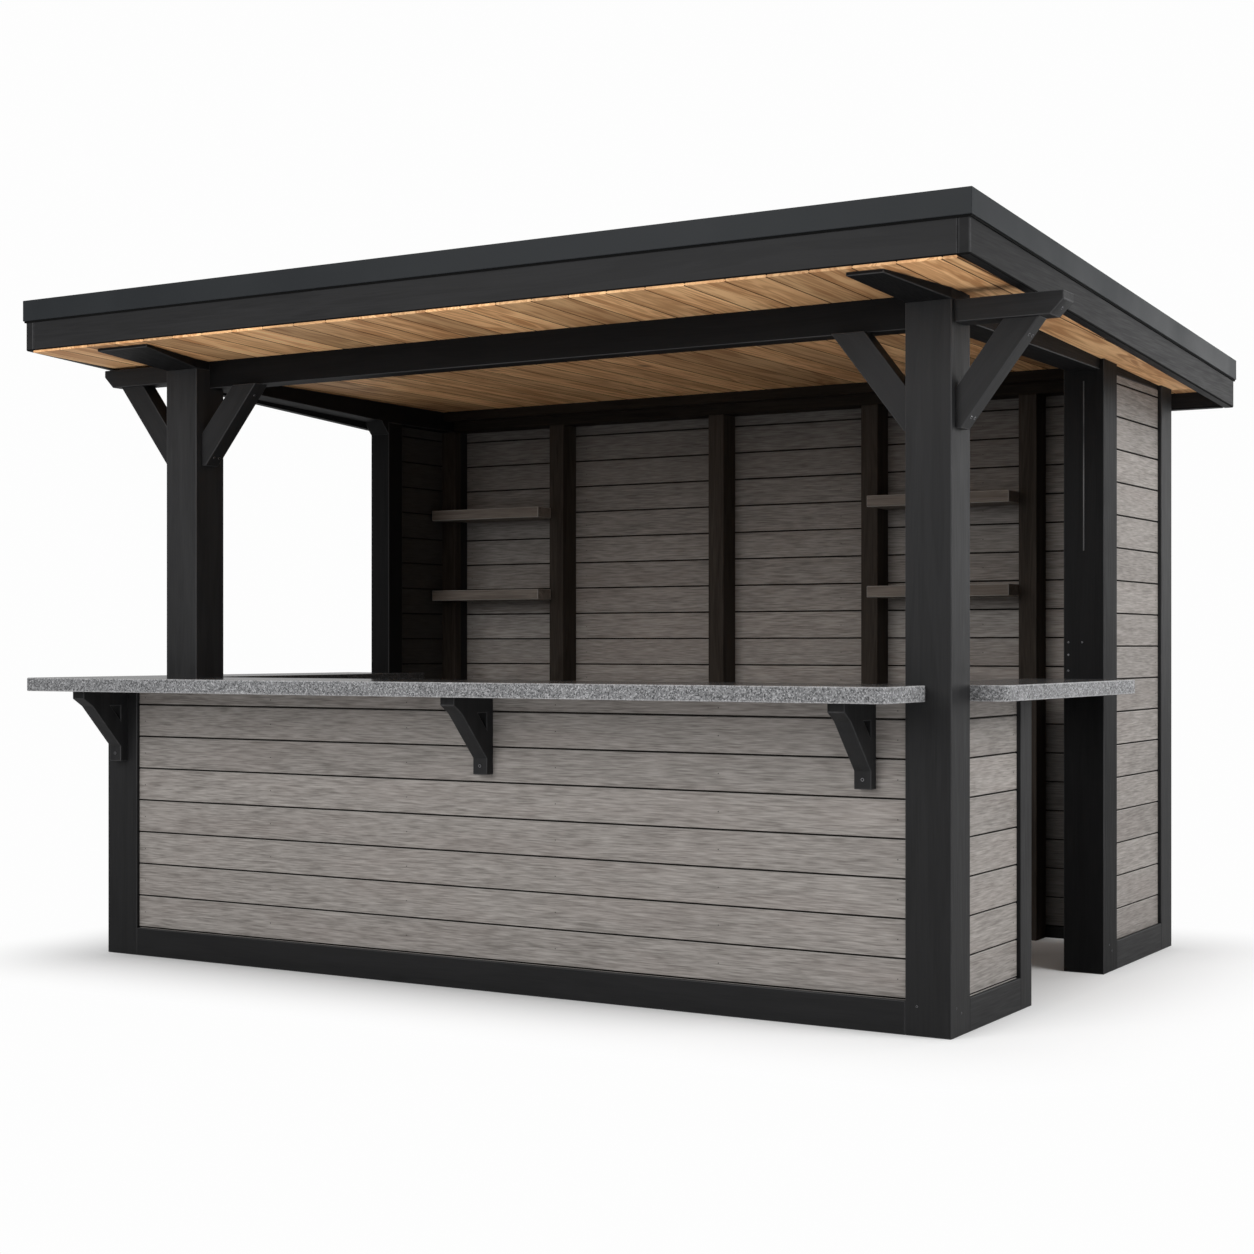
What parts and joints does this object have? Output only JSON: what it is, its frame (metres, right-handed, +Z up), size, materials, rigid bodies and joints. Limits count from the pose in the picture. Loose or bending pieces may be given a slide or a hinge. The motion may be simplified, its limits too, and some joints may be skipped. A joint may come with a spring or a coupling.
{
  "type": "bar pavilion",
  "caption": "Timber garden bar pavilion with a plank-clad bar front, stone counters on brackets, a shelved back wall, a side doorway and a flat falling roof on braced posts.",
  "frame": {"origin": "on the ground at the centre of the whole outline", "axes": "+X along the bar front to the right, +Y from the bar front to the back wall, +Z up"},
  "size_m": [3.928, 2.791, 2.4542],
  "materials": {
    "stained_timber": "near black stained timber with faint grain",
    "wall_board": "weathered grey boards",
    "stud_timber": "dark brown stained timber",
    "shelf_board": "grey brown boards",
    "counter_stone": "fine grained grey granite",
    "ceiling_board": "natural softwood boards",
    "roof_membrane": "sheet deck under a dark membrane",
    "roof_metal": "dark grey coated sheet"
  },
  "bodies": {
    "root": {"front_left_post": "stained_timber", "front_right_post": "stained_timber", "mid_right_post": "stained_timber", "rear_left_post": "stained_timber", "left_outrigger": "stained_timber", "right_outrigger": "stained_timber", "rear_right_post": "stained_timber", "bar_corner_post": "stained_timber", "doorway_stud": "stained_timber", "wing_stud": "stained_timber", "front_header": "stained_timber", "left_tail": "stained_timber", "right_tail": "stained_timber", "left_side_beam": "stained_timber", "right_side_beam": "stained_timber", "front_left_outer_brace": "stained_timber", "front_left_inner_brace": "stained_timber", "front_right_inner_brace": "stained_timber", "front_right_outer_brace": "stained_timber", "front_skirting": "stained_timber", "left_half_skirting": "stained_timber", "left_rear_skirting": "stained_timber", "back_skirting": "stained_timber", "right_rear_skirting": "stained_timber", "right_short_skirting": "stained_timber", "left_bracket": "stained_timber", "middle_bracket": "stained_timber", "right_bracket": "stained_timber", "front_fascia": "stained_timber", "rear_fascia": "stained_timber", "left_fascia": "stained_timber", "right_fascia": "stained_timber", "front_wall": "wall_board", "left_half_wall": "wall_board", "left_rear_wall": "wall_board", "back_wall": "wall_board", "right_rear_wall": "wall_board", "right_short_wall": "wall_board", "rear_plate": "stud_timber", "rear_ledge": "stud_timber", "counter_rails": "stud_timber", "back_studs": "stud_timber", "left_lower_shelf": "shelf_board", "left_upper_shelf": "shelf_board", "right_lower_shelf": "shelf_board", "right_upper_shelf": "shelf_board", "front_counter": "counter_stone", "left_counter": "counter_stone", "right_counter": "counter_stone", "ceiling": "ceiling_board", "front_soffit": "ceiling_board", "right_soffit": "ceiling_board", "rear_soffit": "ceiling_board", "roof_deck": "roof_membrane", "roof_trim": "roof_metal"}
  },
  "joints": []
}
